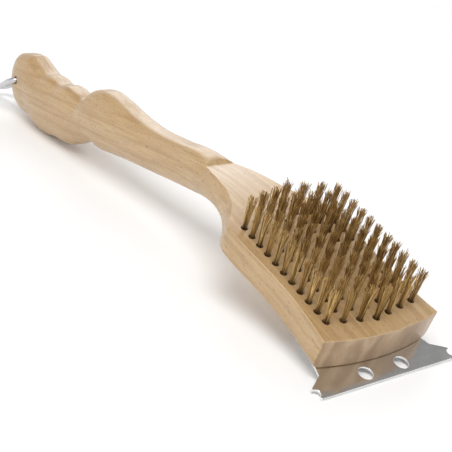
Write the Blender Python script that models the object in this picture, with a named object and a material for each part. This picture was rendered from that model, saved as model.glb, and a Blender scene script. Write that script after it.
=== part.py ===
"""Grill cleaning brush: bent wooden body, brass wire tufts, steel scraper plate, screws and hang ring.

The brush lies on a level surface with its bristles up, resting on the scraper's front edge and on
the underside of the pommel. +Y points from the handle to the scraper, +Z is up, and the origin is
under the middle of the whole brush, on the surface.

Lengths below are in millimetres. The body is first built in the head's own frame, where the
bristle face is level, and is tilted into its resting place at the end.
"""
import math

import bmesh
import bpy
import numpy as np
from mathutils import Matrix, Vector

MM = 0.001
GAP = 0.3                      # clearance between pieces that touch

# Wooden head: a flat block with a bowed front edge and a slight waist
HEAD_THICKNESS = 17.1
HEAD_HALF_WIDTH = 38.0
HEAD_LENGTH = 86.0             # front corners to the rear corners
FRONT_BOW = 4.6                # how far the front edge bulges past its corners
FRONT_BOW_DEPTH = 24.0         # length over which the bow fades out
EDGE_ROUND = 0.6               # small rounding of the top and front edges
UNDER_ROUND = 3.3              # larger rounding of the head's lower edges

# Body spine: straight under the head, one smooth bend, then straight through the grip
BEND_START = 88.0
BEND_RADIUS = 170.0
BEND_ANGLE = math.radians(19.7)
CREASE = 141.0                 # where the flat bristle face ends against the round handle
BODY_LENGTH = 391.0            # along the spine, from the front corners to the end of the pommel
END_ROUNDING_START = 363.0

# Outline of the body along the spine, each as (distance, offset)
HALF_WIDTH = [(0, 38.0), (12, 36.3), (24, 35.1), (40, 34.7), (56, 35.5), (70, 36.6), (78, 37.1), (82, 37.0),
              (86, 35.8), (90, 32.8), (95, 28.8), (102, 24.5), (110, 21.1), (120, 18.5), (130, 16.6),
              (140, 14.4), (150, 12.7), (162, 11.6), (185, 11.2), (207, 11.6), (229, 12.4), (262, 13.8),
              (288, 13.6), (311, 14.4), (336, 14.6), (350, 14.2), (363, 13.2)]
FLAT_HALF_WIDTH = [(86, 35.2), (90, 31.0), (97, 25.0), (104, 20.6), (112, 17.4), (121, 15.2), (131, 12.7),
                   (141, 9.5)]
HANDLE_FLAT = 3.0              # half width of the small level strip along the handle's top and underside
FACE_HEIGHT = [(0, 8.55), (92, 8.55), (120, 8.5), (141, 8.3)]
HANDLE_TOP = [(141, 8.3), (144, 10.4), (152, 12.2), (178, 12.1), (205, 12.6), (229, 16.4), (247, 20.9),
              (262, 22.9), (275, 20.0), (287, 11.0), (299, 13.3), (311, 15.1), (322, 13.8), (334, 16.5),
              (343, 17.1), (351, 19.9), (363, 25.4)]
UNDERSIDE = [(0, -8.55), (100, -8.55), (126, -9.9), (152, -11.8), (178, -12.6), (205, -13.5), (229, -14.2),
             (252, -15.7), (262, -16.2), (275, -14.4), (288, -18.6), (299, -22.9), (311, -24.6),
             (322, -24.2), (336, -25.4), (349, -24.2), (363, -18.9)]
POMMEL_CENTRE = 8.0            # offset of the pommel's end from the spine
POMMEL_POWER = 3.0             # how square the end of the pommel is
FLAT_STEPS = 5                 # points across half of each flat strip
CORNER_STEPS = 4               # steps round each quarter of a cross-section

# Wire tufts
ROWS = "abcdefghijk"
COLUMNS = 7
COLUMN_PITCH = 9.45
ROW_PITCH = 7.0
SIDE_START = 10.8              # side tufts of the first row, behind the front corners
FRONT_SWEEP = 1.65             # each step inwards, a tuft of the first row sits this much farther forward
REAR_SWEEP = -2.5              # the same for the last row, whose middle lies farther back
TUFT_HEIGHT = 20.0             # above the bristle face
TUFT_BASE_RADIUS = 1.9
TUFT_STRAIGHT = 1.0            # height up to which a tuft keeps its base radius
TUFT_TIP_RADIUS = 3.0
TUFT_SPREAD = 5.5              # sideways tip radius of the inner tufts, which mat together
TUFT_SIDES = 8
HOLE_RADIUS = 2.35
HOLE_DEPTH = 8.0

# Scraper plate
PLATE_THICKNESS = 1.2
PLATE_HALF_WIDTH = 36.5
PLATE_REAR_HALF_WIDTH = 31.0   # narrower behind the corners, hidden under the head
PLATE_SHOULDER = (32.6, -9.0)  # where the hidden part starts to widen
PLATE_REAR = -27.0
PLATE_NECK = 5.0               # where the plate flares out in front of the head
WING_HALF_WIDTH = 45.5
WING_REAR = 9.9
WING_FRONT = 11.2
NOTCH_CENTRE = (45.2, 13.4)
NOTCH_RADIUS = 2.3
LOWER_TIP = (44.7, 16.4)
BLADE_EDGE = 17.3
TOOTH_COUNT = 46
TOOTH_DEPTH = 0.5
PLATE_HOLE_RADIUS = 4.1
PLATE_HOLE_CENTRE = (12.0, 10.7)

# Scraper screws
SCREW_CENTRE = (20.0, -14.0)
SCREW_SHANK_RADIUS = 1.6
SCREW_HEAD_RADIUS = 3.4
SCREW_RIM = 0.3                # height of the head's straight rim, below its cone
SCREW_SUNK = 0.1               # depth of the flat head below the plate's underside
SCREW_CLEARANCE = 0.35
SCREW_TIP = 10.5               # height of the screw's point inside the wood
SLOT_WIDTH = 0.9
SLOT_DEPTH = 0.8

# Hang ring: a bent wire loop through a cross hole near the end of the pommel
RING_WIRE_RADIUS = 1.8
RING_HALF_WIDTH = 15.2
RING_SHOULDER = 7.0            # straight part of each side, from the hole outwards
RING_REACH = 53.0              # hole to the far end of the ring
RING_CORNER = 4.0
RING_TIP = 4.0
RING_HOLE_RADIUS = 2.9
RING_HOLE_AT = (374.0, 5.8)    # distance along the spine and offset from it
RING_DROOP = math.radians(18.6)   # below the line of the handle

WOOD = (0.60, 0.40, 0.21)
BRASS = (0.45, 0.28, 0.09)
STEEL = (0.42, 0.41, 0.40)
ZINC = (0.62, 0.62, 0.62)


def clear_scene():
    for item in list(bpy.data.objects):
        bpy.data.objects.remove(item, do_unlink=True)


def smooth_curve(points, at):
    """Cubic through the points, with the average slope at each."""
    x = np.array([point[0] for point in points], float)
    y = np.array([point[1] for point in points], float)
    slope = np.gradient(y, x)
    at = np.clip(at, x[0], x[-1])
    k = np.clip(np.searchsorted(x, at) - 1, 0, len(x) - 2)
    step = x[k + 1] - x[k]
    t = (at - x[k]) / step
    start = (2 * t ** 3 - 3 * t ** 2 + 1) * y[k] + (t ** 3 - 2 * t ** 2 + t) * step * slope[k]
    end = (3 * t ** 2 - 2 * t ** 3) * y[k + 1] + (t ** 3 - t ** 2) * step * slope[k + 1]
    return float(start + end)


def fade(start, end, at):
    """0 before start, 1 after end, and smooth between them."""
    t = min(max((at - start) / (end - start), 0.0), 1.0)
    return t * t * (3 - 2 * t)


def spine(distance):
    """Point of the spine in the head's frame, and the angle by which it slopes down there."""
    middle = HEAD_THICKNESS / 2
    turned = min(max(distance - BEND_START, 0.0) / BEND_RADIUS, BEND_ANGLE)
    y = -min(distance, BEND_START) - BEND_RADIUS * math.sin(turned)
    z = middle - BEND_RADIUS * (1 - math.cos(turned))
    past = max(distance - BEND_START - BEND_RADIUS * BEND_ANGLE, 0.0)
    return y - past * math.cos(turned), z - past * math.sin(turned), turned


def body_point(distance, x, offset):
    """Point at a distance along the spine, sideways by x and off the spine by offset."""
    y, z, slope = spine(distance)
    return Vector((x, y - offset * math.sin(slope), z + offset * math.cos(slope)))


def top_offset(distance):
    return smooth_curve(FACE_HEIGHT if distance < CREASE else HANDLE_TOP, distance)


def section_size(distance):
    """Half width, flat half width, top and bottom offsets at one station."""
    width = smooth_curve(HALF_WIDTH, distance)
    if distance <= HEAD_LENGTH:
        flat = width - EDGE_ROUND
    elif distance < CREASE:
        flat = smooth_curve(FLAT_HALF_WIDTH, distance)
    else:
        flat = HANDLE_FLAT + (FLAT_HALF_WIDTH[-1][1] - HANDLE_FLAT) * (1 - fade(CREASE, CREASE + 5, distance))
    return width, flat, top_offset(distance), smooth_curve(UNDERSIDE, distance)


def half_section(width, flat, top, bottom, distance):
    """One side of a cross-section, from the middle of the top to the middle of the underside."""
    round_part = fade(HEAD_LENGTH - 2, HEAD_LENGTH + 12, distance)
    centre = (top + bottom) / 2
    top_depth = EDGE_ROUND + (top - centre - EDGE_ROUND) * round_part
    handle_part = fade(HEAD_LENGTH - 18, CREASE - 6, distance)
    low_depth = UNDER_ROUND + (centre - bottom - UNDER_ROUND) * handle_part
    low_flat = (width - UNDER_ROUND) * (1 - handle_part) + HANDLE_FLAT * handle_part
    sharp = math.radians(40) * round_part * (1 - fade(CREASE, CREASE + 4, distance))
    points = [(flat * step / FLAT_STEPS, top) for step in range(FLAT_STEPS)]
    for step in range(CORNER_STEPS + 1):
        angle = sharp + (math.pi / 2 - sharp) * step / CORNER_STEPS
        across = (math.sin(angle) - math.sin(sharp)) / (1 - math.sin(sharp))
        down = (math.cos(sharp) - math.cos(angle)) / math.cos(sharp)
        points.append((flat + (width - flat) * across, top - top_depth * down))
    for step in range(CORNER_STEPS + 1):
        angle = math.pi / 2 * step / CORNER_STEPS
        x = low_flat + (width - low_flat) * math.cos(angle)
        points.append((x, bottom + low_depth * (1 - math.sin(angle))))
    points += [(low_flat * (FLAT_STEPS - step) / FLAT_STEPS, bottom) for step in range(1, FLAT_STEPS + 1)]
    return points


def stations():
    """Distances along the spine at which the body has a cross-section."""
    front = [0.0, EDGE_ROUND, 8.0, 16.0, FRONT_BOW_DEPTH, 38.0, 52.0, 66.0, 78.0]
    neck = [83.0, 86.0, 88.0, 90.5, 93.5, 97.0, 101.0, 106.0, 112.0, 118.0, 125.0, 133.0, CREASE - 0.4,
            CREASE + 0.8, 145.0, 149.0, 155.0, 164.0, 176.0, 190.0, 205.0]
    grip = [218.0, 229.0, 239.0, 248.0, 256.0, 263.0, 270.0, 276.0, 282.0, 287.0, 292.0, 298.0, 305.0, 312.0,
            318.0, 323.0, 328.0, 334.0, 340.0, 345.0, 351.0, 357.0, END_ROUNDING_START]
    end = BODY_LENGTH - END_ROUNDING_START
    tail = [END_ROUNDING_START + end * math.sin(math.pi / 2 * step / 7) for step in range(1, 7)]
    return front + neck + grip + tail + [BODY_LENGTH - 0.12]


def body_ring(distance, inset):
    """All points of one cross-section, round the body."""
    width, flat, top, bottom = section_size(min(distance, END_ROUNDING_START))
    past = max(distance - END_ROUNDING_START, 0.0) / (BODY_LENGTH - END_ROUNDING_START)
    shrink = (1 - past ** POMMEL_POWER) ** (1 / POMMEL_POWER)
    top = POMMEL_CENTRE * (1 - shrink) + top * shrink if past else top
    bottom = POMMEL_CENTRE * (1 - shrink) + bottom * shrink if past else bottom
    half = half_section(width * shrink - inset, flat * shrink - inset, top - inset, bottom + inset, distance)
    other = [(-x, offset) for x, offset in reversed(half[1:-1])]
    bow = FRONT_BOW * (1 - fade(-FRONT_BOW_DEPTH, FRONT_BOW_DEPTH, distance)) * 2
    ring = []
    for x, offset in half + other:
        point = body_point(distance, x, offset)
        point.y += bow * (1 - (x / HEAD_HALF_WIDTH) ** 2)
        ring.append(point)
    return ring, len(half)


def new_object(name, mesh_data, colour, roughness, metallic):
    """Object with its own material, from a bmesh whose lengths are in millimetres."""
    bmesh.ops.recalc_face_normals(mesh_data, faces=mesh_data.faces)
    bmesh.ops.triangulate(mesh_data, faces=mesh_data.faces)
    mesh = bpy.data.meshes.new(name)
    mesh_data.transform(Matrix.Scale(MM, 4))
    mesh_data.to_mesh(mesh)
    mesh_data.free()
    item = bpy.data.objects.new(name, mesh)
    bpy.context.collection.objects.link(item)
    material = bpy.data.materials.new(name)
    material.use_nodes = True
    shader = material.node_tree.nodes["Principled BSDF"]
    shader.inputs["Base Color"].default_value = (*colour, 1)
    shader.inputs["Roughness"].default_value = roughness
    shader.inputs["Metallic"].default_value = metallic
    mesh.materials.append(material)
    mesh.shade_smooth()
    mesh.set_sharp_from_angle(angle=math.radians(35))
    return item


def as_cutter(item):
    item.hide_render = True
    item.display_type = "WIRE"
    return item


def cut(item, cutter, operation="DIFFERENCE"):
    modifier = item.modifiers.new(cutter.name, "BOOLEAN")
    modifier.operation = operation
    modifier.object = as_cutter(cutter)


def add_prism(mesh_data, x, y, levels, sides):
    """Closed prism with an oval outline at each level, given as (height, x radius, y radius)."""
    rings = []
    for height, x_radius, y_radius in levels:
        ring = []
        for side in range(sides):
            angle = 2 * math.pi * (side + 0.5) / sides
            corner = (x + x_radius * math.cos(angle), y + y_radius * math.sin(angle), height)
            ring.append(mesh_data.verts.new(corner))
        rings.append(ring)
    mesh_data.faces.new(reversed(rings[0]))
    mesh_data.faces.new(rings[-1])
    for low, high in zip(rings, rings[1:]):
        for side in range(sides):
            after = (side + 1) % sides
            mesh_data.faces.new((low[side], low[after], high[after], high[side]))


def add_cylinder(mesh_data, x, y, bottom, top, radius, sides):
    add_prism(mesh_data, x, y, ((bottom, radius, radius), (top, radius, radius)), sides)


def build_body():
    """Head, neck and grip as one lofted block."""
    mesh_data = bmesh.new()
    rings = []
    for index, distance in enumerate(stations()):
        points, half_count = body_ring(distance, EDGE_ROUND if index == 0 else 0.0)
        rings.append([mesh_data.verts.new(point) for point in points])
    count = len(rings[0])
    for near, far in zip(rings, rings[1:]):
        for k in range(count):
            after = (k + 1) % count
            mesh_data.faces.new((near[k], near[after], far[after], far[k]))
    for ring in (rings[0], rings[-1]):
        close_section(mesh_data, ring, half_count)
    return new_object("wood_body", mesh_data, WOOD, 0.45, 0.0)


def close_section(mesh_data, ring, half_count):
    """Fill a cross-section with strips that run from its top to its underside."""
    last = half_count - 1
    right = ring[:half_count]
    left = [ring[0]] + list(reversed(ring[half_count:])) + [ring[last]]
    for side in (right, left):
        for k in range(half_count // 2):
            corners = (side[k], side[k + 1], side[last - k - 1], side[last - k])
            distinct = list(dict.fromkeys(corners))
            if len(distinct) > 2:
                mesh_data.faces.new(distinct)


def tuft_places():
    """Row letter, column number, x and y of every tuft."""
    places = []
    for row, letter in enumerate(ROWS):
        for column in range(1, COLUMNS + 1):
            across = column - (COLUMNS + 1) / 2
            x = -COLUMN_PITCH * across
            sweep = FRONT_SWEEP + (REAR_SWEEP - FRONT_SWEEP) * row / (len(ROWS) - 1)
            y = -SIDE_START - ROW_PITCH * row + sweep * ((COLUMNS - 1) / 2 - abs(across))
            places.append((letter, column, x, y))
    return places


def cut_tuft_holes(body):
    mesh_data = bmesh.new()
    for _, _, x, y in tuft_places():
        bottom = HEAD_THICKNESS - HOLE_DEPTH
        add_cylinder(mesh_data, x, y, bottom, HEAD_THICKNESS + 5, HOLE_RADIUS, TUFT_SIDES)
    cut(body, new_object("tuft_holes", mesh_data, WOOD, 0.6, 0.0))


def screw_levels():
    """Heights of the underside of a screw's head, of the top of its rim and of the top of its cone."""
    bottom = -GAP - PLATE_THICKNESS + SCREW_SUNK
    return bottom, bottom + SCREW_RIM, bottom + SCREW_RIM + SCREW_HEAD_RADIUS - SCREW_SHANK_RADIUS


def add_screw_hole(mesh_data, side):
    """Countersunk hole through the plate and into the wood, wider than the screw all round."""
    _, rim, neck = screw_levels()
    wide = SCREW_HEAD_RADIUS + SCREW_CLEARANCE
    narrow = SCREW_SHANK_RADIUS + SCREW_CLEARANCE
    levels = ((-8, wide, wide), (rim, wide, wide), (neck, narrow, narrow), (SCREW_TIP + GAP, narrow, narrow))
    add_prism(mesh_data, side * SCREW_CENTRE[0], SCREW_CENTRE[1], levels, 16)


def cut_screw_holes(body):
    mesh_data = bmesh.new()
    for side in (1, -1):
        add_screw_hole(mesh_data, side)
    cut(body, new_object("screw_holes", mesh_data, WOOD, 0.6, 0.0))


def cut_ring_hole(body):
    mesh_data = bmesh.new()
    add_cylinder(mesh_data, 0, 0, -30, 30, RING_HOLE_RADIUS, 16)
    centre = body_point(RING_HOLE_AT[0], 0, RING_HOLE_AT[1])
    mesh_data.transform(Matrix.Translation(centre) @ Matrix.Rotation(math.pi / 2, 4, "Y"))
    cut(body, new_object("ring_hole", mesh_data, WOOD, 0.6, 0.0))


def add_tuft(mesh_data, x, y, spread):
    foot = HEAD_THICKNESS - HOLE_DEPTH + GAP
    waist = HEAD_THICKNESS + TUFT_STRAIGHT
    tip = HEAD_THICKNESS + TUFT_HEIGHT
    levels = ((foot, TUFT_BASE_RADIUS, TUFT_BASE_RADIUS), (waist, TUFT_BASE_RADIUS, TUFT_BASE_RADIUS),
              (tip, spread, TUFT_TIP_RADIUS))
    add_prism(mesh_data, x, y, levels, TUFT_SIDES)


def build_tufts():
    """Single tufts round the edge, and one matted row of five between each pair of side tufts."""
    for letter, column, x, y in tuft_places():
        if letter in (ROWS[0], ROWS[-1]) or column in (1, COLUMNS):
            mesh_data = bmesh.new()
            add_tuft(mesh_data, x, y, TUFT_TIP_RADIUS)
            new_object(f"tuft_{letter}{column}", mesh_data, BRASS, 0.45, 1.0)
    for letter in ROWS[1:-1]:
        inner = [place for place in tuft_places() if place[0] == letter and 1 < place[1] < COLUMNS]
        meshes = [bmesh.new(), bmesh.new()]
        for index, (_, _, x, y) in enumerate(inner):
            add_tuft(meshes[index % 2], x, y, TUFT_SPREAD)
        row = new_object(f"tuft_row_{letter}", meshes[0], BRASS, 0.45, 1.0)
        cut(row, new_object(f"tuft_join_{letter}", meshes[1], BRASS, 0.45, 1.0), "UNION")


def arc_points(centre, radius, start, end, steps):
    """Points of an arc, with its angles in degrees."""
    points = []
    for step in range(steps + 1):
        angle = math.radians(start + (end - start) * step / steps)
        points.append((centre[0] + radius * math.cos(angle), centre[1] + radius * math.sin(angle)))
    return points


def scraper_outline():
    """Plan of the scraper plate, half by half, with its toothed front edge."""
    side = arc_points((PLATE_REAR_HALF_WIDTH - 4, PLATE_REAR + 4), 4, -90, 0, 4)
    side.append(PLATE_SHOULDER)
    side += arc_points((PLATE_HALF_WIDTH + 2.4, PLATE_NECK - 1.8), 2.4, 180, 128, 2)
    side.append((WING_HALF_WIDTH - 0.5, WING_REAR))
    side.append((WING_HALF_WIDTH, WING_REAR + 0.6))
    side.append((WING_HALF_WIDTH, WING_FRONT))
    side += arc_points(NOTCH_CENTRE, NOTCH_RADIUS, 250, 115, 6)
    side += [LOWER_TIP, (LOWER_TIP[0] - 0.8, BLADE_EDGE)]
    blade_half = LOWER_TIP[0] - 0.8
    pitch = 2 * blade_half / TOOTH_COUNT
    teeth = []
    for tooth in range(TOOTH_COUNT):
        x = blade_half - pitch * tooth
        teeth += [(x - pitch / 2, BLADE_EDGE - TOOTH_DEPTH), (x - pitch, BLADE_EDGE)]
    other = [(-x, y) for x, y in reversed(side)]
    return side + teeth[:-1] + other


def build_scraper():
    mesh_data = bmesh.new()
    top = -GAP
    outline = [mesh_data.verts.new((x, y, top - PLATE_THICKNESS)) for x, y in scraper_outline()]
    face = mesh_data.faces.new(outline)
    raised = bmesh.ops.extrude_face_region(mesh_data, geom=[face])
    verts = [item for item in raised["geom"] if isinstance(item, bmesh.types.BMVert)]
    bmesh.ops.translate(mesh_data, vec=(0, 0, PLATE_THICKNESS), verts=verts)
    plate = new_object("scraper_plate", mesh_data, STEEL, 0.3, 1.0)
    holes = bmesh.new()
    for side in (1, -1):
        add_cylinder(holes, side * PLATE_HOLE_CENTRE[0], PLATE_HOLE_CENTRE[1], -8, 8, PLATE_HOLE_RADIUS, 24)
        add_screw_hole(holes, side)
    cut(plate, new_object("plate_holes", holes, STEEL, 0.3, 1.0))


def build_screws():
    """Slotted countersunk wood screws that hold the plate, driven from below."""
    bottom, rim, neck = screw_levels()
    profile = [(0, bottom), (SCREW_HEAD_RADIUS, bottom), (SCREW_HEAD_RADIUS, rim), (SCREW_SHANK_RADIUS, neck),
               (SCREW_SHANK_RADIUS, SCREW_TIP - 4), (0.4, SCREW_TIP - GAP), (0, SCREW_TIP - GAP)]
    for name, side in (("scraper_screw_left", 1), ("scraper_screw_right", -1)):
        mesh_data = bmesh.new()
        edge = [mesh_data.verts.new((radius, 0, z)) for radius, z in profile]
        edges = [mesh_data.edges.new(pair) for pair in zip(edge, edge[1:])]
        bmesh.ops.spin(mesh_data, geom=edge + edges, cent=(0, 0, 0), axis=(0, 0, 1),
                       angle=2 * math.pi, steps=16, use_merge=True)
        bmesh.ops.remove_doubles(mesh_data, verts=mesh_data.verts, dist=0.01)
        mesh_data.transform(Matrix.Translation((side * SCREW_CENTRE[0], SCREW_CENTRE[1], 0)))
        screw = new_object(name, mesh_data, STEEL, 0.35, 1.0)
        slot = bmesh.new()
        bmesh.ops.create_cube(slot, size=1)
        slot.transform(Matrix.Diagonal((10, SLOT_WIDTH, 2 * SLOT_DEPTH, 1)))
        slot.transform(Matrix.Rotation(math.radians(35 * side), 4, "Z"))
        slot.transform(Matrix.Translation((side * SCREW_CENTRE[0], SCREW_CENTRE[1], bottom)))
        cut(screw, new_object(f"{name}_slot", slot, STEEL, 0.35, 1.0))


def ring_path():
    """Closed centre line of the hang ring, in its own plane: x across, y outwards from the hole."""
    slope = math.atan2(RING_HALF_WIDTH - RING_TIP, RING_REACH - RING_SHOULDER - RING_TIP)
    bend = math.degrees(slope)
    corner = (RING_HALF_WIDTH - RING_CORNER, RING_CORNER)
    half = arc_points(corner, RING_CORNER, -90, 0, 5)
    half.append((RING_HALF_WIDTH, RING_SHOULDER))
    half += arc_points((0, RING_REACH - RING_TIP), RING_TIP, bend * 0.6, 90, 5)
    other = [(-x, y) for x, y in reversed(half[:-1])]
    return half + other


def build_ring():
    """Bent wire, swept along its path; its axis is the middle of the cross hole."""
    path = [Vector((x, y, 0)) for x, y in ring_path()]
    mesh_data = bmesh.new()
    sides = 8
    rings = []
    for k, point in enumerate(path):
        along = (path[(k + 1) % len(path)] - point).normalized() + (point - path[k - 1]).normalized()
        across = along.normalized().cross(Vector((0, 0, 1)))
        ring = []
        for side in range(sides):
            angle = 2 * math.pi * side / sides
            shift = across * math.cos(angle) + Vector((0, 0, 1)) * math.sin(angle)
            ring.append(mesh_data.verts.new(point + shift * RING_WIRE_RADIUS))
        rings.append(ring)
    for k, ring in enumerate(rings):
        after = rings[(k + 1) % len(rings)]
        for side in range(sides):
            near = (side + 1) % sides
            mesh_data.faces.new((ring[side], ring[near], after[near], after[side]))
    ring = new_object("hang_ring", mesh_data, ZINC, 0.35, 1.0)
    _, _, slope = spine(RING_HOLE_AT[0])
    outwards = Matrix.Rotation(math.pi + slope + RING_DROOP, 4, "X")
    place = body_point(RING_HOLE_AT[0], 0, RING_HOLE_AT[1]) * MM
    ring.matrix_world = Matrix.Translation(place) @ outwards
    return ring


def resting_tilt():
    """Angle that brings the scraper's edge and the pommel's underside to one level."""
    edge = Vector((0, BLADE_EDGE, -GAP - PLATE_THICKNESS))
    angles = []
    for distance in np.arange(300, END_ROUNDING_START, 0.5):
        _, _, _, bottom = section_size(distance)
        low = body_point(distance, 0, bottom)
        angles.append(math.atan2(edge.z - low.z, edge.y - low.y))
    return max(angles)


def settle():
    """Tilt every piece into the resting pose, and put the origin under the middle of the brush."""
    turn = Matrix.Rotation(-resting_tilt(), 4, "X")
    for item in bpy.data.objects:
        item.matrix_world = turn @ item.matrix_world
    bpy.context.view_layer.update()
    corners = []
    for item in bpy.data.objects:
        if not item.hide_render:
            corners += [item.matrix_world @ vert.co for vert in item.data.vertices]
    corners = np.array(corners)
    low, high = corners.min(axis=0), corners.max(axis=0)
    middle = (low + high) / 2
    move = Matrix.Translation((0, -middle[1], -low[2]))
    for item in bpy.data.objects:
        item.matrix_world = move @ item.matrix_world


def main():
    clear_scene()
    body = build_body()
    cut_tuft_holes(body)
    cut_screw_holes(body)
    cut_ring_hole(body)
    build_tufts()
    build_scraper()
    build_screws()
    build_ring()
    settle()


main()
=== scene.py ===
"""Grill cleaning brush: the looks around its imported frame.

The body, tufts, plate, screws and ring are shaped in the head's own frame, in millimetres, where the
bristle face is level and the front corners lie at y 0, and are then put in the frame's resting place.
"""
import math
import random

import bmesh
import bpy
import numpy as np
from mathutils import Matrix, Vector


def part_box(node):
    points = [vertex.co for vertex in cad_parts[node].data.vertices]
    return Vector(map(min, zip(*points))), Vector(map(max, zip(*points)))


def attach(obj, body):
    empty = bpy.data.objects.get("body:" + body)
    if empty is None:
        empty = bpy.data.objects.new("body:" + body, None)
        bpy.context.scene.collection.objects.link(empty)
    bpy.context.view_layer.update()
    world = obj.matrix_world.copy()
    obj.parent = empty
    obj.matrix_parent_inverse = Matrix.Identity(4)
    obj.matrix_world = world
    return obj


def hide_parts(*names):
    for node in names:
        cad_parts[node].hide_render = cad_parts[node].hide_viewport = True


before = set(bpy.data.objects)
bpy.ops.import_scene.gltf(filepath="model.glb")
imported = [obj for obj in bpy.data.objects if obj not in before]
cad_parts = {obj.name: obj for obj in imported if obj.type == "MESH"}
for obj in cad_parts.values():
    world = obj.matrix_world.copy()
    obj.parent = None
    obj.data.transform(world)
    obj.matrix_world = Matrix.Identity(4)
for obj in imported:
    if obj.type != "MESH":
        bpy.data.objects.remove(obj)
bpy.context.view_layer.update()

MM = 0.001

# Dimensions shared with the frame, in millimetres
HEAD_THICKNESS = 17.1
HEAD_HALF_WIDTH = 38.0
HEAD_LENGTH = 86.0
FRONT_BOW = 4.6
FRONT_BOW_DEPTH = 24.0
EDGE_ROUND = 0.6
UNDER_ROUND = 3.3
BEND_START = 88.0
BEND_RADIUS = 170.0
BEND_ANGLE = math.radians(19.7)
CREASE = 141.0
BODY_LENGTH = 391.0
END_ROUNDING_START = 363.0

# Outline of the body along the spine, each as (distance, offset)
HALF_WIDTH = [(0, 38.0), (12, 36.3), (24, 35.1), (40, 34.7), (56, 35.5), (70, 36.6), (78, 37.1), (82, 37.0),
              (86, 35.8), (90, 32.8), (95, 28.8), (102, 24.5), (110, 21.1), (120, 18.5), (130, 16.6),
              (140, 14.4), (150, 12.7), (162, 11.6), (185, 11.2), (207, 11.6), (229, 12.4), (262, 13.8),
              (288, 13.6), (311, 14.4), (336, 14.6), (350, 14.2), (363, 13.2)]
FLAT_HALF_WIDTH = [(86, 35.2), (90, 31.0), (97, 25.0), (104, 20.6), (112, 17.4), (121, 15.2), (131, 12.7),
                   (141, 9.5)]
HANDLE_FLAT = 3.0
FACE_HEIGHT = [(0, 8.55), (92, 8.55), (120, 8.5), (141, 8.3)]
HANDLE_TOP = [(141, 8.3), (144, 10.4), (152, 12.2), (178, 12.1), (205, 12.6), (229, 16.4), (247, 20.9),
              (262, 22.9), (275, 20.0), (287, 11.0), (299, 13.3), (311, 15.1), (322, 13.8), (334, 16.5),
              (343, 17.1), (351, 19.9), (363, 25.4)]
UNDERSIDE = [(0, -8.55), (100, -8.55), (126, -9.9), (152, -11.8), (178, -12.6), (205, -13.5), (229, -14.2),
             (252, -15.7), (262, -16.2), (275, -14.4), (288, -18.6), (299, -22.9), (311, -24.6),
             (322, -24.2), (336, -25.4), (349, -24.2), (363, -18.9)]
POMMEL_CENTRE = 8.0
POMMEL_POWER = 3.0
FRONT_ROUNDING = (0.0, 0.4, 0.8, 1.2)   # angles of the cross-sections round the front edge
POMMEL_STEPS = 22                       # cross-sections round the end of the pommel
FLAT_STEPS = 10                         # points across half of each flat strip
CORNER_STEPS = 11                       # steps round each quarter of a cross-section
CREASE_ANGLE = math.radians(40)         # how steeply the neck's side leaves the bristle face
QUARTER_TURN = math.pi / 2
SHARP_ANGLE = 35                        # degrees past which an edge is drawn sharp

# Places of the tufts
ROWS = "abcdefghijk"
COLUMNS = 7
COLUMN_PITCH = 9.45
ROW_PITCH = 7.0
SIDE_START = 10.8                       # side tufts of the first row, behind the front corners
FRONT_SWEEP = 1.65                      # each step inwards moves a tuft of the first row this far forward
REAR_SWEEP = -2.5                       # the same for the last row, whose middle lies farther back
TUFT_HOLE_RADIUS = 1.95                 # snug round the loose wires, so smaller than the frame's
TUFT_HOLE_DEPTH = 7.0
TUFT_HOLE_CONE = 0.8                    # depth of the drill's cone at the bottom

# Wires of a tuft
WIRE_COUNT = 40
WIRE_SIDES = 5
WIRE_LEVELS = (-4.0, -0.5, 3.0, 6.5, 10.0, 13.2, 16.2, 18.6)    # heights over the bristle face
WIRE_THIN = 0.13
WIRE_THICK = 0.18
WIRE_END_SHARE = 0.82                   # radius of a wire's cut end, as a share of its own
FOOT_SPREAD = 1.15                      # radius in which a tuft's wires leave their hole
TIP_SPREAD = 2.2                        # radius of the tuft's tip
TIP_SPREAD_ACROSS = 2.7                 # the same sideways, on the inner tufts, which mat together
TIP_SCATTER = 0.42
CRIMP_RATE = 1.35                       # radians of crimp for each millimetre of height
FRAY_START = 0.62                       # share of the height from which wires stray
LEAN_OUT = 0.4                          # how far the side tufts' tips lean outwards
LEAN_BACK = 1.5                         # how far every tip leans towards the handle
SIDE_COLUMN = 28.0                      # about how far the side tufts stand from the middle
FIRST_SEED = 100

# Scraper plate and its screws
PLATE_GAP = 0.3
PLATE_THICKNESS = 1.2
PLATE_HALF_WIDTH = 36.5
PLATE_REAR_HALF_WIDTH = 31.0
PLATE_SHOULDER = (32.6, -9.0)
PLATE_REAR = -27.0
PLATE_REAR_CORNER = 4.0
PLATE_NECK = 5.0
PLATE_NECK_RADIUS = 2.4
PLATE_BEVEL = 0.16
WING_HALF_WIDTH = 45.5
WING_REAR = 9.9
WING_FRONT = 11.2
WING_CORNER = 0.6
NOTCH_CENTRE = (45.2, 13.4)
NOTCH_RADIUS = 2.3
LOWER_TIP = (44.7, 16.4)
BLADE_EDGE = 17.3
BLADE_END_INSET = 0.8                   # from the wing's lower tip to the first tooth
TOOTH_COUNT = 46
TOOTH_DEPTH = 0.5
PLATE_HOLE_RADIUS = 4.1
PLATE_HOLE_CENTRE = (12.0, 10.7)
SCREW_CENTRE = (20.0, -14.0)
SCREW_SUNK = 0.1
SCREW_TURNS = 6
SCREW_PITCH = 1.2
SCREW_CORE = 1.2
SCREW_CREST = 1.6
SLOT_SIZE = (10, 0.9, 1.6)
SLOT_TURN = 35                          # degrees
SCREW_HOLE = [(3.75, -8.0), (3.75, -1.1), (1.95, 0.7), (1.95, 9.6), (0.0, 10.8)]

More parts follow.
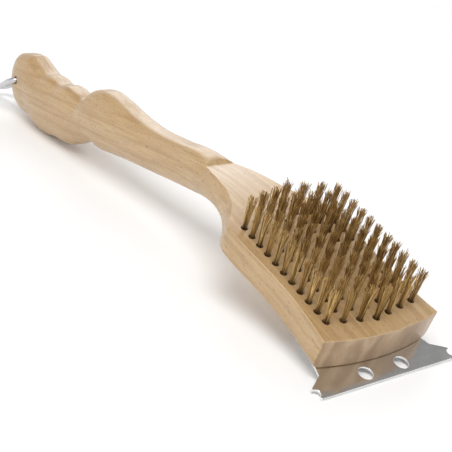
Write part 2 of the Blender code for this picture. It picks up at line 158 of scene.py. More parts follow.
# Hang ring
RING_WIRE_RADIUS = 1.8
RING_HALF_WIDTH = 15.2
RING_SHOULDER = 7.0
RING_REACH = 53.0
RING_CORNER = 4.0
RING_TIP = 4.0
RING_HOLE_RADIUS = 2.9
RING_HOLE_AT = (374.0, 5.8)
RING_DROOP = math.radians(18.6)
RING_SIDES = 20
RING_SEAM_SHARE = 0.93                  # the wire is a little thinner where its ends are welded

# Resting tilt of the brush on its scraper edge and pommel
TILT = math.radians(14.830126)

# Camera in the head's frame
CAMERA_AT = (332.788, 207.102, 301.623)
CAMERA_RIGHT = (-0.798692, 0.528933, 0.286916)
CAMERA_UP = (-0.132851, -0.620044, 0.773238)
CAMERA_LENS = 80.165

# Stage; each world level is (sine of the height above the horizon, brightness)
FLOOR_GAP = 0.0002                      # metres
WORLD_LEVELS = ((0.0, 0.95), (0.36, 1.0), (0.60, 0.36), (1.0, 0.30))
WORLD_STRENGTH = 0.86


def head_to_world():
    """Places the head's frame so that the blade edge meets the surface where the frame has it."""
    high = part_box("scraper_plate")[1]
    turn = Matrix.Rotation(-TILT, 4, "X")
    edge = turn @ Vector((0, BLADE_EDGE, -PLATE_GAP))
    foot = turn @ Vector((0, BLADE_EDGE, -PLATE_GAP - PLATE_THICKNESS))
    return Matrix.Translation((0, high.y - edge.y * MM, -foot.z * MM)) @ turn @ Matrix.Scale(MM, 4)


TO_WORLD = head_to_world()
FROM_WORLD = TO_WORLD.inverted()


# ---------------------------------------------------------------- shape helpers

def smooth_curve(points, at):
    """Cubic through the points, with the average slope at each."""
    x = np.array([point[0] for point in points], float)
    y = np.array([point[1] for point in points], float)
    slope = np.gradient(y, x)
    at = np.clip(at, x[0], x[-1])
    k = np.clip(np.searchsorted(x, at) - 1, 0, len(x) - 2)
    step = x[k + 1] - x[k]
    t = (at - x[k]) / step
    start = (2 * t ** 3 - 3 * t ** 2 + 1) * y[k] + (t ** 3 - 2 * t ** 2 + t) * step * slope[k]
    end = (3 * t ** 2 - 2 * t ** 3) * y[k + 1] + (t ** 3 - t ** 2) * step * slope[k + 1]
    return float(start + end)


def fade(start, end, at):
    """0 before start, 1 past end, and a smooth step between."""
    t = min(max((at - start) / (end - start), 0.0), 1.0)
    return t * t * (3 - 2 * t)


def spine(distance):
    """Point of the spine in the head's frame, and its downward slope there."""
    turned = min(max(distance - BEND_START, 0.0) / BEND_RADIUS, BEND_ANGLE)
    y = -min(distance, BEND_START) - BEND_RADIUS * math.sin(turned)
    z = HEAD_THICKNESS / 2 - BEND_RADIUS * (1 - math.cos(turned))
    past = max(distance - BEND_START - BEND_RADIUS * BEND_ANGLE, 0.0)
    return y - past * math.cos(turned), z - past * math.sin(turned), turned


def body_point(distance, x, offset):
    """Point of the head's frame from its place along, across and off the spine."""
    y, z, slope = spine(distance)
    return Vector((x, y - offset * math.sin(slope), z + offset * math.cos(slope)))


def along_spine(point):
    """Distance along the spine and offset from it of a point in the head's frame."""
    middle = HEAD_THICKNESS / 2
    if point.y > -BEND_START:
        return -point.y, point.z - middle
    across = -(point.y + BEND_START)
    down = point.z - (middle - BEND_RADIUS)
    turned = math.atan2(across, down)
    if turned < BEND_ANGLE:
        return BEND_START + BEND_RADIUS * turned, math.hypot(across, down) - BEND_RADIUS
    y, z, slope = spine(BEND_START + BEND_RADIUS * BEND_ANGLE)
    back, up = point.y - y, point.z - z
    far = -back * math.cos(slope) - up * math.sin(slope)
    return BEND_START + BEND_RADIUS * BEND_ANGLE + far, up * math.cos(slope) - back * math.sin(slope)


def section_size(distance):
    """Half width, half width of the level top, top and underside of the body at a distance."""
    width = smooth_curve(HALF_WIDTH, distance)
    if distance <= HEAD_LENGTH:
        flat = width - EDGE_ROUND
    elif distance < CREASE:
        flat = smooth_curve(FLAT_HALF_WIDTH, distance)
    else:
        crease_flat = FLAT_HALF_WIDTH[-1][1]
        flat = HANDLE_FLAT + (crease_flat - HANDLE_FLAT) * (1 - fade(CREASE, CREASE + 5, distance))
    top = smooth_curve(FACE_HEIGHT if distance < CREASE else HANDLE_TOP, distance)
    return width, flat, top, smooth_curve(UNDERSIDE, distance)


def half_section(width, flat, top, bottom, distance):
    """One side of a cross-section, from the middle of the top to the middle of the underside."""
    round_part = fade(HEAD_LENGTH - 2, HEAD_LENGTH + 12, distance)
    centre = (top + bottom) / 2
    top_depth = EDGE_ROUND + (top - centre - EDGE_ROUND) * round_part
    handle_part = fade(HEAD_LENGTH - 18, CREASE - 6, distance)
    low_depth = UNDER_ROUND + (centre - bottom - UNDER_ROUND) * handle_part
    low_flat = (width - UNDER_ROUND) * (1 - handle_part) + HANDLE_FLAT * handle_part
    sharp = CREASE_ANGLE * round_part * (1 - fade(CREASE, CREASE + 4, distance))
    points = [(flat * step / FLAT_STEPS, top) for step in range(FLAT_STEPS)]
    for step in range(CORNER_STEPS + 1):
        angle = sharp + (QUARTER_TURN - sharp) * step / CORNER_STEPS
        across = (math.sin(angle) - math.sin(sharp)) / (1 - math.sin(sharp))
        down = (math.cos(sharp) - math.cos(angle)) / math.cos(sharp)
        points.append((flat + (width - flat) * across, top - top_depth * down))
    for step in range(CORNER_STEPS + 1):
        angle = QUARTER_TURN * step / CORNER_STEPS
        x = low_flat + (width - low_flat) * math.cos(angle)
        points.append((x, bottom + low_depth * (1 - math.sin(angle))))
    points += [(low_flat * (FLAT_STEPS - step) / FLAT_STEPS, bottom) for step in range(1, FLAT_STEPS + 1)]
    return points


def body_ring(distance, inset):
    """Points all round one cross-section, and how many of them make its first side."""
    width, flat, top, bottom = section_size(min(distance, END_ROUNDING_START))
    past = max(distance - END_ROUNDING_START, 0.0) / (BODY_LENGTH - END_ROUNDING_START)
    shrink = (1 - past ** POMMEL_POWER) ** (1 / POMMEL_POWER)
    top = POMMEL_CENTRE * (1 - shrink) + top * shrink if past else top
    bottom = POMMEL_CENTRE * (1 - shrink) + bottom * shrink if past else bottom
    half = half_section(width * shrink - inset, flat * shrink - inset, top - inset, bottom + inset, distance)
    other = [(-x, offset) for x, offset in reversed(half[1:-1])]
    bow = FRONT_BOW * (1 - fade(-FRONT_BOW_DEPTH, FRONT_BOW_DEPTH, distance)) * 2
    ring = []
    for x, offset in half + other:
        point = body_point(distance, x, offset)
        point.y += bow * (1 - (x / HEAD_HALF_WIDTH) ** 2)
        ring.append(point)
    return ring, len(half)


def body_stations():
    """(distance, inset) of every cross-section: a rounded front edge, an even run, and a round end."""
    places = []
    for angle in FRONT_ROUNDING:
        places.append((EDGE_ROUND * (1 - math.cos(angle)), EDGE_ROUND * (1 - math.sin(angle))))
    run = [*np.arange(0.6, 80, 3.0), *np.arange(81, CREASE - 1, 1.5), CREASE - 0.25, CREASE + 0.35]
    run += [*np.arange(CREASE + 1, 160, 1.0), *np.arange(160, 236, 2.5)]
    run += [*np.arange(236, END_ROUNDING_START, 1.6)]
    places += [(float(distance), 0.0) for distance in run]
    span = BODY_LENGTH - END_ROUNDING_START
    for step in range(POMMEL_STEPS):
        places.append((END_ROUNDING_START + span * math.sin(QUARTER_TURN * step / POMMEL_STEPS), 0.0))
    places.append((BODY_LENGTH - 0.06, 0.0))
    return places


def link(name, mesh_data, sharp_angle=SHARP_ANGLE):
    """New object from a bmesh in the head's frame, turned into the world's metres."""
    mesh = bpy.data.meshes.new(name)
    bmesh.ops.recalc_face_normals(mesh_data, faces=mesh_data.faces)
    mesh_data.transform(TO_WORLD)
    mesh_data.to_mesh(mesh)
    mesh_data.free()
    mesh.shade_smooth()
    mesh.set_sharp_from_angle(angle=math.radians(sharp_angle))
    item = bpy.data.objects.new(name, mesh)
    bpy.context.scene.collection.objects.link(item)
    return item


def settle_modifiers(item):
    """Replaces the mesh by what its modifiers make of it."""
    bpy.context.view_layer.update()
    graph = bpy.context.evaluated_depsgraph_get()
    mesh = bpy.data.meshes.new_from_object(item.evaluated_get(graph))
    old = item.data
    item.modifiers.clear()
    item.data = mesh
    bpy.data.meshes.remove(old)


def cut(item, cutter):
    """Takes the cutter's shape out of the item, and removes the cutter."""
    modifier = item.modifiers.new("cut", "BOOLEAN")
    modifier.operation = "DIFFERENCE"
    modifier.solver = "EXACT"
    modifier.object = cutter
    settle_modifiers(item)
    bpy.data.objects.remove(cutter, do_unlink=True)


def add_distinct_face(mesh_data, corners):
    """Face through the corners, leaving out repeated ones; nothing where fewer than three remain."""
    distinct = list(dict.fromkeys(corners))
    if len(distinct) > 2:
        mesh_data.faces.new(distinct)


def add_lathe(mesh_data, profile, centre, axis, sides):
    """Closed solid of revolution; profile is (radius, height) from its low end to its high end."""
    turn = Vector((0, 0, 1)).rotation_difference(Vector(axis)).to_matrix().to_4x4()
    place = Matrix.Translation(centre) @ turn
    rings = []
    for radius, height in profile:
        points = [Vector((0, 0, height))]
        if radius > 0:
            angles = [2 * math.pi * side / sides for side in range(sides)]
            points = [Vector((radius * math.cos(a), radius * math.sin(a), height)) for a in angles]
        rings.append([mesh_data.verts.new(place @ point) for point in points])
    for low, high in zip(rings, rings[1:]):
        for side in range(sides):
            after = (side + 1) % sides
            corners = [low[side % len(low)], low[after % len(low)]]
            corners += [high[after % len(high)], high[side % len(high)]]
            add_distinct_face(mesh_data, corners)
    for ring in (rings[0], rings[-1]):
        if len(ring) > 1:
            mesh_data.faces.new(ring)


def finish_surface(item, sharp_angle, material):
    """Smooth shading with sharp edges, and one material all over."""
    item.data.shade_smooth()
    item.data.set_sharp_from_angle(angle=math.radians(sharp_angle))
    item.data.materials.clear()
    item.data.materials.append(material)


def put(piece, body, slot_name, *nodes):
    """The piece moves with a body and stands for CAD nodes, which are hidden; the slot name is not used."""
    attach(piece, body)
    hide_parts(*nodes)


# ---------------------------------------------------------------- material helpers

class Nodes:
    """Short calls for building one material."""

    def __init__(self, name):
        self.material = bpy.data.materials.new(name)
        self.material.use_nodes = True
        self.tree = self.material.node_tree
        self.shader = self.tree.nodes["Principled BSDF"]

    def node(self, kind, **settings):
        made = self.tree.nodes.new(kind)
        for key, value in settings.items():
            setattr(made, key, value)
        return made

    def join(self, source, target):
        self.tree.links.new(source, target)

    def attribute(self, name, output="Fac"):
        return self.node("ShaderNodeAttribute", attribute_name=name).outputs[output]

    def scaled(self, vector, scale, shift=(0, 0, 0)):
        made = self.node("ShaderNodeMapping")
        made.inputs["Scale"].default_value = scale
        made.inputs["Location"].default_value = shift
        self.join(vector, made.inputs["Vector"])
        return made.outputs["Vector"]

    def noise(self, vector, scale, detail=2.0, roughness=0.5, distortion=0.0):
        made = self.node("ShaderNodeTexNoise")
        made.inputs["Scale"].default_value = scale
        made.inputs["Detail"].default_value = detail
        made.inputs["Roughness"].default_value = roughness
        made.inputs["Distortion"].default_value = distortion
        self.join(vector, made.inputs["Vector"])
        return made.outputs["Fac"]

    def band(self, value, low, high, low_to=0.0, high_to=1.0):
        made = self.node("ShaderNodeMapRange", interpolation_type="SMOOTHSTEP")
        self.join(value, made.inputs["Value"])
        made.inputs["From Min"].default_value = low
        made.inputs["From Max"].default_value = high
        made.inputs["To Min"].default_value = low_to
        made.inputs["To Max"].default_value = high_to
        return made.outputs["Result"]

    def add(self, first, second):
        made = self.node("ShaderNodeMath", operation="ADD")
        self.join(first, made.inputs[0])
        self.join(second, made.inputs[1])
        return made.outputs["Value"]

    def mix(self, factor, first, second):
        """Mix of two colours, each a socket or a plain tuple."""
        made = self.node("ShaderNodeMix", data_type="RGBA")
        colours = [socket for socket in made.inputs if socket.type == "RGBA"]
        self.join(factor, made.inputs[0])
        for socket, value in zip(colours, (first, second)):
            if isinstance(value, tuple):
                socket.default_value = (*value, 1)
            else:
                self.join(value, socket)
        return next(socket for socket in made.outputs if socket.type == "RGBA")

    def ramp(self, value, stops):
        made = self.node("ShaderNodeValToRGB")
        elements = made.color_ramp.elements
        while len(elements) < len(stops):
            elements.new(0.5)
        for element, (place, colour) in zip(elements, stops):
            element.position = place
            element.color = (*colour, 1)
        self.join(value, made.inputs["Fac"])
        return made.outputs["Color"]

    def bump(self, height, distance, strength, under=None):
        made = self.node("ShaderNodeBump")
        made.inputs["Strength"].default_value = strength
        made.inputs["Distance"].default_value = distance
        self.join(height, made.inputs["Height"])
        if under is not None:
            self.join(under, made.inputs["Normal"])
        return made.outputs["Normal"]

    def finish(self, colour, roughness, normal=None, **constants):
        self.join(colour, self.shader.inputs["Base Color"])
        if isinstance(roughness, (int, float)):
            self.shader.inputs["Roughness"].default_value = roughness
        else:
            self.join(roughness, self.shader.inputs["Roughness"])
        if normal is not None:
            self.join(normal, self.shader.inputs["Normal"])
        for key, value in constants.items():
            self.shader.inputs[key.replace("_", " ")].default_value = value
        return self.material


def wood_material():
    """Pale lacquered hardwood: long grain, soft bands, short dark pores, darker end grain, and a painted
    highlight along the head's rim.
    """
    n = Nodes("lacquered_wood")
    grain = n.attribute("grain", "Vector")
    drift = n.noise(n.scaled(grain, (9, 60, 60)), 1.0, 2.0, 0.5)
    bands = n.noise(n.scaled(grain, (6, 260, 380)), 1.0, 3.0, 0.6, 0.4)
    lines = n.noise(n.scaled(grain, (22, 1100, 1500), (3, 1, 2)), 1.0, 3.0, 0.6, 0.2)
    fine = n.noise(n.scaled(grain, (60, 3200, 3600)), 1.0, 2.0, 0.5)
    base = n.ramp(n.band(bands, 0.32, 0.68), [(0.0, (0.42, 0.262, 0.117)), (0.5, (0.48, 0.318, 0.155)),
                                             (1.0, (0.525, 0.362, 0.19))])
    base = n.mix(n.band(drift, 0.4, 0.72, 0.0, 0.3), base, (0.44, 0.275, 0.13))
    base = n.mix(n.band(lines, 0.50, 0.68, 0.0, 0.34), base, (0.36, 0.21, 0.09))
    base = n.mix(n.band(fine, 0.52, 0.75, 0.0, 0.16), base, (0.30, 0.18, 0.09))
    pores = n.noise(n.scaled(grain, (420, 1500, 1500), (7, 5, 3)), 1.0, 1.0, 0.5)
    pore_mask = n.band(pores, 0.64, 0.71, 0.0, 0.6)
    base = n.mix(pore_mask, base, (0.17, 0.095, 0.045))
    end_bands = n.noise(n.scaled(grain, (5, 75, 30), (1, 9, 4)), 1.0, 3.0, 0.5, 0.8)
    end_fine = n.noise(n.scaled(grain, (60, 1500, 900)), 1.0, 3.0, 0.65)
    end = n.ramp(n.band(end_bands, 0.34, 0.66), [(0.0, (0.31, 0.19, 0.095)), (0.5, (0.40, 0.26, 0.14)),
                                                 (1.0, (0.50, 0.345, 0.20))])
    end = n.mix(n.band(end_fine, 0.45, 0.7, 0.0, 0.3), end, (0.20, 0.115, 0.055))
    colour = n.mix(n.attribute("end"), base, end)
    # Painted highlight: a pale band along the edges round the bristle face.
    edge = n.band(n.attribute("rim_highlight"), 0.2, 0.9, 0.0, 0.55)
    colour = n.mix(edge, colour, (0.66, 0.49, 0.30))
    roughness = n.band(lines, 0.3, 0.75, 0.34, 0.46)
    normal = n.bump(lines, 0.00012, 0.35)
    normal = n.bump(n.band(pores, 0.66, 0.73, 1.0, 0.0), 0.0002, 0.4, normal)
    wave = n.noise(n.scaled(grain, (40, 55, 55)), 1.0, 1.0, 0.4)
    normal = n.bump(wave, 0.0011, 0.25, normal)
    return n.finish(colour, roughness, normal, Coat_Weight=0.45, Coat_Roughness=0.2, IOR=1.5,
                    Specular_IOR_Level=0.5)


def brass_material():
    """Drawn brass wire: each wire has its own tone, with painted shade darkening it towards the holes."""
    n = Nodes("brass_wire")
    tone = n.attribute("tone")
    along = n.attribute("along")
    where = n.node("ShaderNodeTexCoord").outputs["Object"]
    colour = n.ramp(tone, [(0.0, (0.15, 0.08, 0.026)), (0.3, (0.43, 0.265, 0.09)),
                           (0.65, (0.68, 0.455, 0.17)), (1.0, (0.96, 0.74, 0.38))])
    spots = n.noise(n.scaled(where, (900, 900, 300)), 1.0, 2.0, 0.6)
    colour = n.mix(n.band(spots, 0.5, 0.75, 0.0, 0.35), colour, (0.26, 0.155, 0.06))
    # Painted shade: wires darken towards the holes, where the tuft shades itself.
    low = n.band(along, 0.1, 0.45, 0.8, 0.0)
    colour = n.mix(low, colour, (0.07, 0.042, 0.018))
    normal = n.bump(spots, 0.0001, 0.3)
    return n.finish(colour, n.band(spots, 0.3, 0.8, 0.34, 0.55), normal, Metallic=0.7)


def steel_material(name, light, dark, rough_low, rough_high, scale):
    """Bright sheet or wire: fine drawn lines, faint smears and specks."""
    n = Nodes(name)
    where = n.node("ShaderNodeTexCoord").outputs["Object"]
    lines = n.noise(n.scaled(where, (scale * 0.02, scale * 1.4, scale * 1.4)), 1.0, 3.0, 0.6)
    smear = n.noise(n.scaled(where, (45, 70, 70)), 1.0, 3.0, 0.6, 0.5)
    specks = n.noise(n.scaled(where, (scale, scale, scale)), 1.0, 2.0, 0.6)
    colour = n.mix(n.band(smear, 0.3, 0.7), dark, light)
    colour = n.mix(n.band(specks, 0.6, 0.8, 0.0, 0.3), colour, tuple(0.6 * part for part in dark))
    colour = n.mix(n.band(lines, 0.4, 0.7, 0.0, 0.18), colour, light)
    roughness = n.add(n.band(smear, 0.3, 0.7, rough_low, rough_high), n.band(lines, 0.4, 0.8, 0.0, 0.08))
    normal = n.bump(lines, 0.00002, 0.25)
    normal = n.bump(smear, 0.0003, 0.06, normal)
    return n.finish(colour, roughness, normal, Metallic=1.0)


def floor_material():
    """Near-white backdrop paper, faintly mottled."""
    n = Nodes("pale_floor")
    where = n.node("ShaderNodeTexCoord").outputs["Object"]
    mottle = n.noise(where, 6.0, 3.0, 0.5)
    colour = n.mix(n.band(mottle, 0.3, 0.7), (0.955, 0.955, 0.955), (0.975, 0.975, 0.975))
    return n.finish(colour, 0.7, None, Specular_IOR_Level=0.2)


# ---------------------------------------------------------------- wooden body

def build_body(material):
    """Lofted body with its holes, put on the frame's wooden body."""
    mesh_data = bmesh.new()
    rings = []
    for distance, inset in body_stations():
        points, half_count = body_ring(distance, inset)
        rings.append([mesh_data.verts.new(point) for point in points])
    count = len(rings[0])
    for near, far in zip(rings, rings[1:]):
        for k in range(count):
            after = (k + 1) % count
            mesh_data.faces.new((near[k], near[after], far[after], far[k]))
    last = half_count - 1
    for ring in (rings[0], rings[-1]):
        right = ring[:half_count]
        left = [ring[0]] + list(reversed(ring[half_count:])) + [ring[last]]
        for side in (right, left):
            for k in range(half_count // 2):
                add_distinct_face(mesh_data, (side[k], side[k + 1], side[last - k - 1], side[last - k]))
    body = link("wood_body_visual", mesh_data)
    cut_holes(body)
    finish_surface(body, SHARP_ANGLE, material)
    paint_body(body.data)
    put(body, "brush", "wood", "wood_body")


def tuft_places():
    """(row letter, column, x, y) of every tuft."""
    places = []
    for row, letter in enumerate(ROWS):
        for column in range(1, COLUMNS + 1):
            across = column - (COLUMNS + 1) / 2
            x = -COLUMN_PITCH * across
            sweep = FRONT_SWEEP + (REAR_SWEEP - FRONT_SWEEP) * row / (len(ROWS) - 1)
            y = -SIDE_START - ROW_PITCH * row + sweep * ((COLUMNS - 1) / 2 - abs(across))
            places.append((letter, column, x, y))
    return places


def cut_holes(body):
    """Drilled tuft holes with coned bottoms, screw holes and the ring's cross hole."""
    mesh_data = bmesh.new()
    bottom = HEAD_THICKNESS - TUFT_HOLE_DEPTH
    drill = [(0, bottom - TUFT_HOLE_CONE), (TUFT_HOLE_RADIUS, bottom)]
    drill.append((TUFT_HOLE_RADIUS, HEAD_THICKNESS + 4))
    for _, _, x, y in tuft_places():
        add_lathe(mesh_data, drill, (x, y, 0), (0, 0, 1), 16)
    for side in (1, -1):
        add_lathe(mesh_data, SCREW_HOLE, (side * SCREW_CENTRE[0], SCREW_CENTRE[1], 0), (0, 0, 1), 32)
    centre = body_point(RING_HOLE_AT[0], 0, RING_HOLE_AT[1])
    add_lathe(mesh_data, [(RING_HOLE_RADIUS, -30), (RING_HOLE_RADIUS, 30)], centre, (1, 0, 0), 32)
    cut(body, link("body_holes", mesh_data))


def set_attribute(mesh, name, kind, domain, values):
    field = "vector" if kind == "FLOAT_VECTOR" else "value"
    mesh.attributes.new(name, kind, domain).data.foreach_set(field, values)


def rim_highlight_strength(point):
    """1 on the edges round the bristle face, where a pale highlight is painted, and 0 away from them."""
    if point.y < -HEAD_LENGTH:
        return 0.0
    to_face = abs(point.z - HEAD_THICKNESS)
    to_front = abs(point.y - FRONT_BOW * (1 - (point.x / HEAD_HALF_WIDTH) ** 2))
    to_side = abs(abs(point.x) - smooth_curve(HALF_WIDTH, -point.y)) if point.y < 1 else 9.0
    return max(0.0, 1.0 - max(to_face, min(to_front, to_side)) / 0.7)


def paint_body(mesh):
    """Grain coordinates in metres, the painted highlight along the head's rim, and its end-grain face."""
    grain, rim_highlight = [], []
    for vert in mesh.vertices:
        point = FROM_WORLD @ vert.co
        distance, offset = along_spine(point)
        grain += [distance * MM, point.x * MM, offset * MM]
        rim_highlight.append(rim_highlight_strength(point))
    turn = FROM_WORLD.to_3x3()
    end = []
    for face in mesh.polygons:
        normal = (turn @ face.normal).normalized()
        front = normal.y > 0.7 and (FROM_WORLD @ face.center).y > -2
        end.append(1.0 if front else 0.0)
    set_attribute(mesh, "grain", "FLOAT_VECTOR", "POINT", grain)
    set_attribute(mesh, "rim_highlight", "FLOAT", "POINT", rim_highlight)
    set_attribute(mesh, "end", "FLOAT", "FACE", end)


# ---------------------------------------------------------------- wire tufts

def wire_path(source, x, y, spread):
    """Centre line of one wire: straight from its hole, crimped, and frayed near the tip.

    spread is the sideways radius of the tuft's tip.
    """
    angle = source.uniform(0, 2 * math.pi)
    reach = math.sqrt(source.random())
    foot = (FOOT_SPREAD * reach * math.cos(angle), FOOT_SPREAD * reach * math.sin(angle))
    tip = (spread * reach * math.cos(angle) + source.gauss(0, TIP_SCATTER),
           TIP_SPREAD * reach * math.sin(angle) + source.gauss(0, TIP_SCATTER))
    stretch = source.uniform(0.90, 1.02) + (0.05 if source.random() < 0.12 else 0.0)
    phase = source.uniform(0, 2 * math.pi)
    heading = source.uniform(0, math.pi)
    crimp = source.uniform(0.08, 0.2)
    stray = source.gauss(0, 0.55), source.gauss(0, 0.55)
    path = []
    for level in WIRE_LEVELS:
        height = level * stretch
        t = max(level, 0.0) / WIRE_LEVELS[-1]
        flare = t ** 1.15
        wiggle = crimp * math.sin(level * CRIMP_RATE + phase) * min(1.0, 3 * t)
        fray = max(0.0, (t - FRAY_START) / (1 - FRAY_START)) ** 1.6
        px = x + foot[0] * (1 - flare) + tip[0] * flare + wiggle * math.cos(heading) + stray[0] * fray
        py = y + foot[1] * (1 - flare) + tip[1] * flare + wiggle * math.sin(heading) + stray[1] * fray
        px += LEAN_OUT * x / SIDE_COLUMN * t
        py -= LEAN_BACK * t
        path.append(Vector((px, py, HEAD_THICKNESS + height)))
    return path


def add_wire(verts, faces, tones, alongs, path, radius, tone, twist):
    """Adds one wire's closed tube, with its tone and its height shares, to the tuft's lists."""
    start = len(verts)
    for k, point in enumerate(path):
        heading = (path[min(k + 1, len(path) - 1)] - path[max(k - 1, 0)]).normalized()
        side_x = heading.cross(Vector((0, 1, 0))).normalized()
        side_y = heading.cross(side_x)
        size = radius * (WIRE_END_SHARE if k == len(path) - 1 else 1.0)
        for side in range(WIRE_SIDES):
            angle = 2 * math.pi * side / WIRE_SIDES + twist
            verts.append(point + (side_x * math.cos(angle) + side_y * math.sin(angle)) * size)
            tones.append(tone)
            alongs.append(k / (len(path) - 1))
    for k in range(len(path) - 1):
        low = start + k * WIRE_SIDES
        for side in range(WIRE_SIDES):
            after = (side + 1) % WIRE_SIDES
            faces.append((low + side, low + after, low + WIRE_SIDES + after, low + WIRE_SIDES + side))
    top = start + (len(path) - 1) * WIRE_SIDES
    faces.append(tuple(top + side for side in range(WIRE_SIDES)))
    faces.append(tuple(start + side for side in reversed(range(WIRE_SIDES))))


def build_tuft_piece(name, places, seed, material, wires):
    """One object with all the wires of the tufts at these places."""
    source = random.Random(seed)
    verts, faces, tones, alongs = [], [], [], []
    for _, column, x, y in places:
        spread = TIP_SPREAD_ACROSS if 1 < column < COLUMNS else TIP_SPREAD
        for _ in range(wires):
            path = wire_path(source, x, y, spread)
            tone = min(1.0, max(0.0, source.gauss(0.52, 0.25)))
            radius = source.uniform(WIRE_THIN, WIRE_THICK)
            add_wire(verts, faces, tones, alongs, path, radius, tone, source.uniform(0, 1.2))
    mesh = bpy.data.meshes.new(name)
    mesh.from_pydata([TO_WORLD @ vert for vert in verts], [], faces)
    set_attribute(mesh, "tone", "FLOAT", "POINT", tones)
    set_attribute(mesh, "along", "FLOAT", "POINT", alongs)
    mesh.shade_smooth()
    mesh.set_sharp_from_angle(angle=math.radians(80))
    mesh.materials.append(material)
    item = bpy.data.objects.new(name, mesh)
    bpy.context.scene.collection.objects.link(item)
    return item


def build_tufts(material, wires):
    """One piece for each tuft node of the frame: single edge tufts and matted inner rows."""
    places = tuft_places()
    groups = []
    for place in places:
        letter, column = place[0], place[1]
        if letter in (ROWS[0], ROWS[-1]) or column in (1, COLUMNS):
            groups.append((f"tuft_{letter}{column}", [place]))
    for letter in ROWS[1:-1]:
        inner = [place for place in places if place[0] == letter and 1 < place[1] < COLUMNS]
        groups.append((f"tuft_row_{letter}", inner))
    for number, (node, group) in enumerate(groups):
        piece = build_tuft_piece(f"{node}_wires", group, FIRST_SEED + number, material, wires)
        put(piece, "brush", "brass_wire", node)


# ---------------------------------------------------------------- scraper plate and screws

def arc_points(centre, radius, start, end, steps):
    """Points of an arc between two angles in degrees, both ends included."""
    points = []
    for step in range(steps + 1):
        angle = math.radians(start + (end - start) * step / steps)
        points.append((centre[0] + radius * math.cos(angle), centre[1] + radius * math.sin(angle)))
    return points


def scraper_outline():
    """Plan of the scraper plate: one side, the toothed front edge, and the other side."""
    rear_corner = (PLATE_REAR_HALF_WIDTH - PLATE_REAR_CORNER, PLATE_REAR + PLATE_REAR_CORNER)
    neck_corner = (PLATE_HALF_WIDTH + PLATE_NECK_RADIUS, PLATE_NECK - 1.8)
    blade_half = LOWER_TIP[0] - BLADE_END_INSET
    side = arc_points(rear_corner, PLATE_REAR_CORNER, -90, 0, 12)
    side.append(PLATE_SHOULDER)
    side += arc_points(neck_corner, PLATE_NECK_RADIUS, 180, 128, 7)
    side += arc_points((WING_HALF_WIDTH - WING_CORNER, WING_REAR + WING_CORNER), WING_CORNER, -60, 0, 3)
    side.append((WING_HALF_WIDTH, WING_FRONT))
    side += arc_points(NOTCH_CENTRE, NOTCH_RADIUS, 262, 115, 14)
    side += [LOWER_TIP, (LOWER_TIP[0] - 0.25, BLADE_EDGE - 0.35), (blade_half, BLADE_EDGE)]
    pitch = 2 * blade_half / TOOTH_COUNT
    teeth = []
    for tooth in range(TOOTH_COUNT):
        x = blade_half - pitch * tooth
        root = BLADE_EDGE - TOOTH_DEPTH
        teeth += [(x - pitch * 0.08, BLADE_EDGE - 0.02), (x - pitch * 0.44, root), (x - pitch * 0.56, root)]
        teeth += [(x - pitch * 0.92, BLADE_EDGE - 0.02), (x - pitch, BLADE_EDGE)]
    other = [(-x, y) for x, y in reversed(side)]
    return side + teeth[:-1] + other


def build_plate(material):
    """Sheet plate with its round and screw holes and softened edges."""
    mesh_data = bmesh.new()
    low = -PLATE_GAP - PLATE_THICKNESS
    outline = [mesh_data.verts.new((x, y, low)) for x, y in scraper_outline()]
    face = mesh_data.faces.new(outline)
    raised = bmesh.ops.extrude_face_region(mesh_data, geom=[face])
    verts = [item for item in raised["geom"] if isinstance(item, bmesh.types.BMVert)]
    bmesh.ops.translate(mesh_data, vec=(0, 0, PLATE_THICKNESS), verts=verts)
    plate = link("scraper_plate_visual", mesh_data)
    holes = bmesh.new()
    for side in (1, -1):
        straight = [(PLATE_HOLE_RADIUS, -8), (PLATE_HOLE_RADIUS, 8)]
        for place, profile, sides in ((PLATE_HOLE_CENTRE, straight, 64), (SCREW_CENTRE, SCREW_HOLE, 32)):
            add_lathe(holes, profile, (side * place[0], place[1], 0), (0, 0, 1), sides)
    cut(plate, link("plate_holes", holes))
    bevel = plate.modifiers.new("edge", "BEVEL")
    bevel.width = PLATE_BEVEL * MM
    bevel.segments = 2
    bevel.limit_method = "ANGLE"
    bevel.angle_limit = math.radians(50)
    settle_modifiers(plate)
    finish_surface(plate, 15, material)
    put(plate, "brush", "stainless", "scraper_plate")


def screw_profile(low):
    """(radius, height) up a countersunk screw whose head starts at low: head, neck, thread and point."""
    head = [(0, low), (3.22, low), (3.34, low + 0.04), (3.4, low + 0.14), (3.4, low + 0.28)]
    neck = [(3.34, low + 0.36), (1.62, low + 2.08), (1.55, low + 2.4)]
    thread = []
    for turn in range(SCREW_TURNS):
        base = SCREW_PITCH * (1 + turn)
        thread += [(SCREW_CORE, base), (SCREW_CORE, base + 0.35)]
        thread += [(SCREW_CREST, base + 0.7), (SCREW_CORE, base + 1.0)]
    return head + neck + thread + [(0.85, 9.3), (0.0, 10.15)]


def build_screws(material):
    """Slotted countersunk heads just below the plate's face, and threaded shanks in the wood."""
    low = -PLATE_GAP - PLATE_THICKNESS + SCREW_SUNK
    for name, side in (("scraper_screw_left", 1), ("scraper_screw_right", -1)):
        centre = (side * SCREW_CENTRE[0], SCREW_CENTRE[1], 0)
        mesh_data = bmesh.new()
        add_lathe(mesh_data, screw_profile(low), centre, (0, 0, 1), 40)
        screw = link(f"{name}_visual", mesh_data)
        slot = bmesh.new()
        bmesh.ops.create_cube(slot, size=1)
        slot.transform(Matrix.Diagonal((*SLOT_SIZE, 1)))
        slot.transform(Matrix.Rotation(math.radians(SLOT_TURN * side), 4, "Z"))
        slot.transform(Matrix.Translation((centre[0], centre[1], low)))
        cut(screw, link("slot", slot))
        finish_surface(screw, 30, material)
        put(screw, "brush", "screw_steel", name)


# ---------------------------------------------------------------- hang ring

